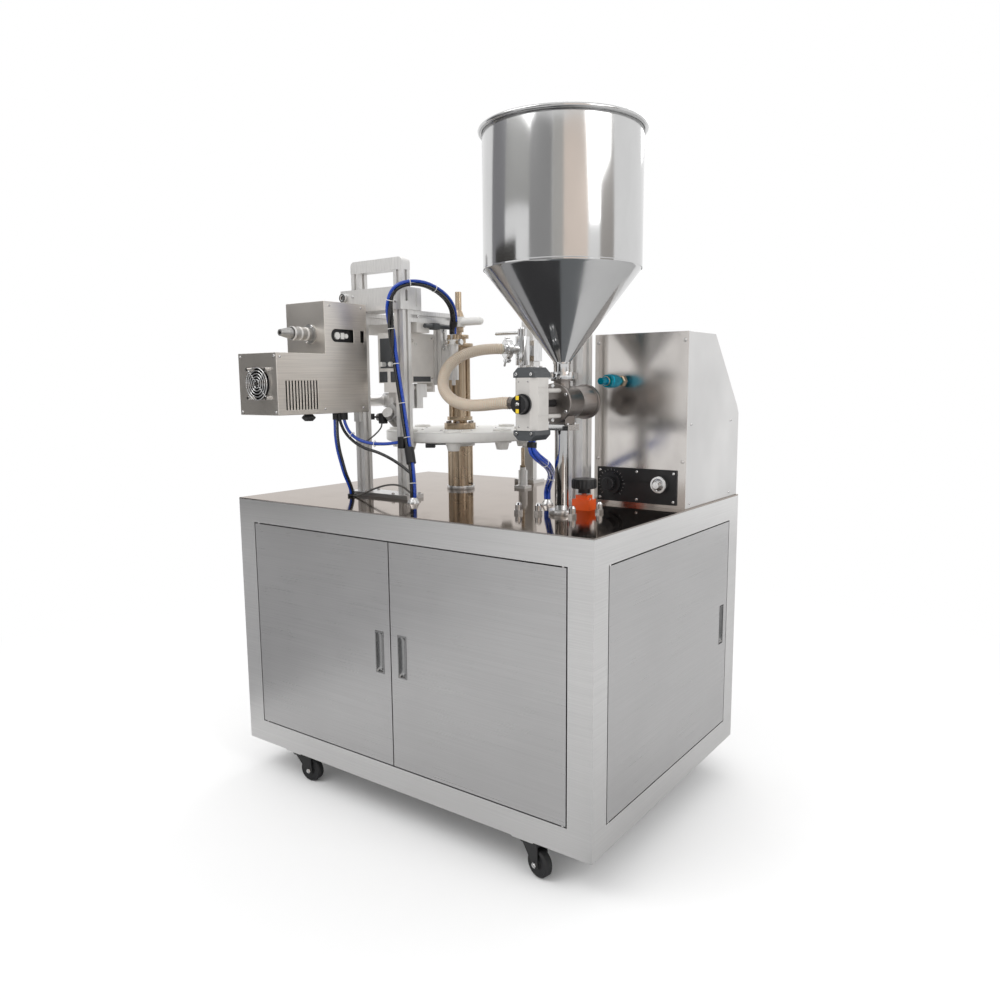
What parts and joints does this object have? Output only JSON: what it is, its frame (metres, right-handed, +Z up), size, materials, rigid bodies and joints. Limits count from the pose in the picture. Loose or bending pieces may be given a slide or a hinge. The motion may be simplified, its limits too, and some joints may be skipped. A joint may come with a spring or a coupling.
{
  "type": "tube filling machine",
  "caption": "steel cabinet on casters with an indexing disc of tube cups, a hopper with a dosing valve, a lifting nozzle, a hot air head and sealing jaws",
  "frame": {"origin": "on the floor, under the middle of the machine's box", "axes": "+X to the right seen from the doors, +Y to the back, +Z up"},
  "size_m": [1.1, 0.89, 1.61],
  "materials": {
    "brushed_steel": "brushed stainless steel with a fine level grain",
    "polished_steel": "polished stainless steel",
    "warm_steel": "satin turned stainless steel",
    "aluminium": "anodised aluminium",
    "grey_paint": "light grey enamel",
    "dark_grey": "dark grey enamel",
    "black_plastic": "black moulded plastic",
    "caster_tread": "black rubber",
    "white_nylon": "turned white nylon",
    "gold_brass": "satin brass",
    "orange_plastic": "orange red plastic",
    "cyan_metal": "blue green anodised metal",
    "beige_hose": "ribbed translucent hose",
    "blue_hose": "blue polyurethane tube"
  },
  "bodies": {
    "machine": {"cabinet_frame": "brushed_steel", "panels": "brushed_steel", "control_housing": "brushed_steel", "base_flanges": "brushed_steel", "table_top": "polished_steel", "front_panel": "polished_steel", "hopper": "polished_steel", "hopper_clamp": "polished_steel", "filler_column": "polished_steel", "base_studs": "polished_steel", "valve_body": "warm_steel", "dosing_cylinder": "warm_steel", "profile_frame": "aluminium", "support_columns": "aluminium", "head_channel": "aluminium", "trim_cylinder": "aluminium", "lift_cylinder": "aluminium", "jaw_housing": "grey_paint", "actuator_body": "grey_paint", "index_drive": "dark_grey", "actuator_caps": "dark_grey", "mark_sensor": "dark_grey", "control_strip": "black_plastic", "top_arm": "white_nylon", "upper_column": "gold_brass", "stroke_block": "orange_plastic", "air_coupler": "cyan_metal", "product_hose": "beige_hose", "loop_hoses": "blue_hose", "heater_hoses": "blue_hose", "filler_hoses": "blue_hose"},
    "door_left": {"door_left": "brushed_steel"},
    "door_right": {"door_right": "brushed_steel"},
    "side_door": {"side_door": "brushed_steel"},
    "index_table": {"hub_sleeve": "gold_brass", "index_disc": "white_nylon", "tube_cups": "white_nylon"},
    "jaw_front": {"jaw_front": "aluminium"},
    "jaw_rear": {"jaw_rear": "aluminium"},
    "heater": {"heater_housing": "brushed_steel", "fan_guard": "polished_steel", "hot_air_gun": "aluminium", "air_duct": "brushed_steel"},
    "fan": {"fan_rotor": "black_plastic"},
    "valve": {"valve_core": "black_plastic"},
    "piston": {"dosing_piston": "warm_steel"},
    "speed_dial": {"speed_dial": "black_plastic"},
    "regulator_knob": {"regulator_knob": "polished_steel"},
    "adjust_knob": {"adjust_knob": "black_plastic"},
    "nozzle": {"filling_nozzle": "polished_steel"},
    "nozzle_lever": {"nozzle_lever": "polished_steel"},
    "lift": {"lift_rod": "gold_brass"},
    "fork_1": {"caster_fork_1": "black_plastic"},
    "wheel_1": {"caster_wheel_1": "caster_tread"},
    "fork_2": {"caster_fork_2": "black_plastic"},
    "wheel_2": {"caster_wheel_2": "caster_tread"},
    "fork_3": {"caster_fork_3": "black_plastic"},
    "wheel_3": {"caster_wheel_3": "caster_tread"},
    "fork_4": {"caster_fork_4": "black_plastic"},
    "wheel_4": {"caster_wheel_4": "caster_tread"}
  },
  "joints": [
    {"name": "door_left_hinge", "type": "hinge", "parent": "machine", "child": "door_left", "pos_m": [-0.477, -0.329, 0.425], "axis": [0, 0, -1], "range_deg": [0, 110]},
    {"name": "door_right_hinge", "type": "hinge", "parent": "machine", "child": "door_right", "pos_m": [0.477, -0.329, 0.425], "axis": [0, 0, 1], "range_deg": [0, 110]},
    {"name": "side_door_hinge", "type": "hinge", "parent": "machine", "child": "side_door", "pos_m": [0.544, -0.262, 0.425], "axis": [0, 0, -1], "range_deg": [0, 110]},
    {"name": "index_turn", "type": "hinge", "parent": "machine", "child": "index_table", "pos_m": [-0.164, 0.144, 0.901], "axis": [0, 0, 1], "continuous": true},
    {"name": "jaw_front_slide", "type": "slide", "parent": "machine", "child": "jaw_front", "axis": [0, 1, 0], "range_m": [0, 0.0045]},
    {"name": "jaw_rear_slide", "type": "slide", "parent": "machine", "child": "jaw_rear", "axis": [0, -1, 0], "range_m": [0, 0.0045]},
    {"name": "heater_lift", "type": "slide", "parent": "machine", "child": "heater", "axis": [0, 0, 1], "range_m": [0, 0.06]},
    {"name": "fan_spin", "type": "hinge", "parent": "heater", "child": "fan", "pos_m": [-0.313, -0.42, 1.068], "axis": [0, 1, 0], "continuous": true},
    {"name": "valve_turn", "type": "hinge", "parent": "machine", "child": "valve", "pos_m": [0.33, -0.095, 1.02], "axis": [0, 1, 0], "range_deg": [0, 90]},
    {"name": "piston_slide", "type": "slide", "parent": "machine", "child": "piston", "axis": [0, 1, 0], "range_m": [0, 0.035]},
    {"name": "speed_dial_turn", "type": "hinge", "parent": "machine", "child": "speed_dial", "pos_m": [0.35, 0.095, 0.817], "axis": [0, 1, 0], "range_deg": [-135, 135]},
    {"name": "regulator_turn", "type": "hinge", "parent": "machine", "child": "regulator_knob", "pos_m": [0.486, 0.091, 0.823], "axis": [0, 1, 0], "range_deg": [-360, 360]},
    {"name": "stroke_turn", "type": "hinge", "parent": "machine", "child": "adjust_knob", "pos_m": [0.343, -0.02, 0.825], "axis": [0, 0, 1], "range_deg": [-360, 360]},
    {"name": "nozzle_slide", "type": "slide", "parent": "machine", "child": "nozzle", "axis": [0, 0, 1], "range_m": [0, 0.06]},
    {"name": "nozzle_lever_turn", "type": "hinge", "parent": "nozzle", "child": "nozzle_lever", "pos_m": [-0.01304, 0.24204, 1.206], "axis": [0, 0, 1], "range_deg": [0, 90]},
    {"name": "tube_lift", "type": "slide", "parent": "machine", "child": "lift", "axis": [0, 0, 1], "range_m": [0, 0.03]},
    {"name": "swivel_1", "type": "hinge", "parent": "machine", "child": "fork_1", "pos_m": [-0.375, -0.305, 0.08], "axis": [0, 0, 1], "continuous": true},
    {"name": "roll_1", "type": "hinge", "parent": "fork_1", "child": "wheel_1", "pos_m": [-0.33955, -0.29875, 0.0315], "axis": [-0.1736, 0.9848, 0], "continuous": true},
    {"name": "swivel_2", "type": "hinge", "parent": "machine", "child": "fork_2", "pos_m": [0.375, -0.305, 0.08], "axis": [0, 0, 1], "continuous": true},
    {"name": "roll_2", "type": "hinge", "parent": "fork_2", "child": "wheel_2", "pos_m": [0.40977, -0.31432, 0.0315], "axis": [0.2588, 0.9659, 0], "continuous": true},
    {"name": "swivel_3", "type": "hinge", "parent": "machine", "child": "fork_3", "pos_m": [-0.375, 0.415, 0.08], "axis": [0, 0, 1], "continuous": true},
    {"name": "roll_3", "type": "hinge", "parent": "fork_3", "child": "wheel_3", "pos_m": [-0.33955, 0.42125, 0.0315], "axis": [-0.1736, 0.9848, 0], "continuous": true},
    {"name": "swivel_4", "type": "hinge", "parent": "machine", "child": "fork_4", "pos_m": [0.375, 0.415, 0.08], "axis": [0, 0, 1], "continuous": true},
    {"name": "roll_4", "type": "hinge", "parent": "fork_4", "child": "wheel_4", "pos_m": [0.41045, 0.40875, 0.0315], "axis": [0.1736, 0.9848, 0], "continuous": true}
  ],
  "couplings": [
    {"joint": "jaw_rear_slide", "follows": "jaw_front_slide", "ratio": 1}
  ]
}
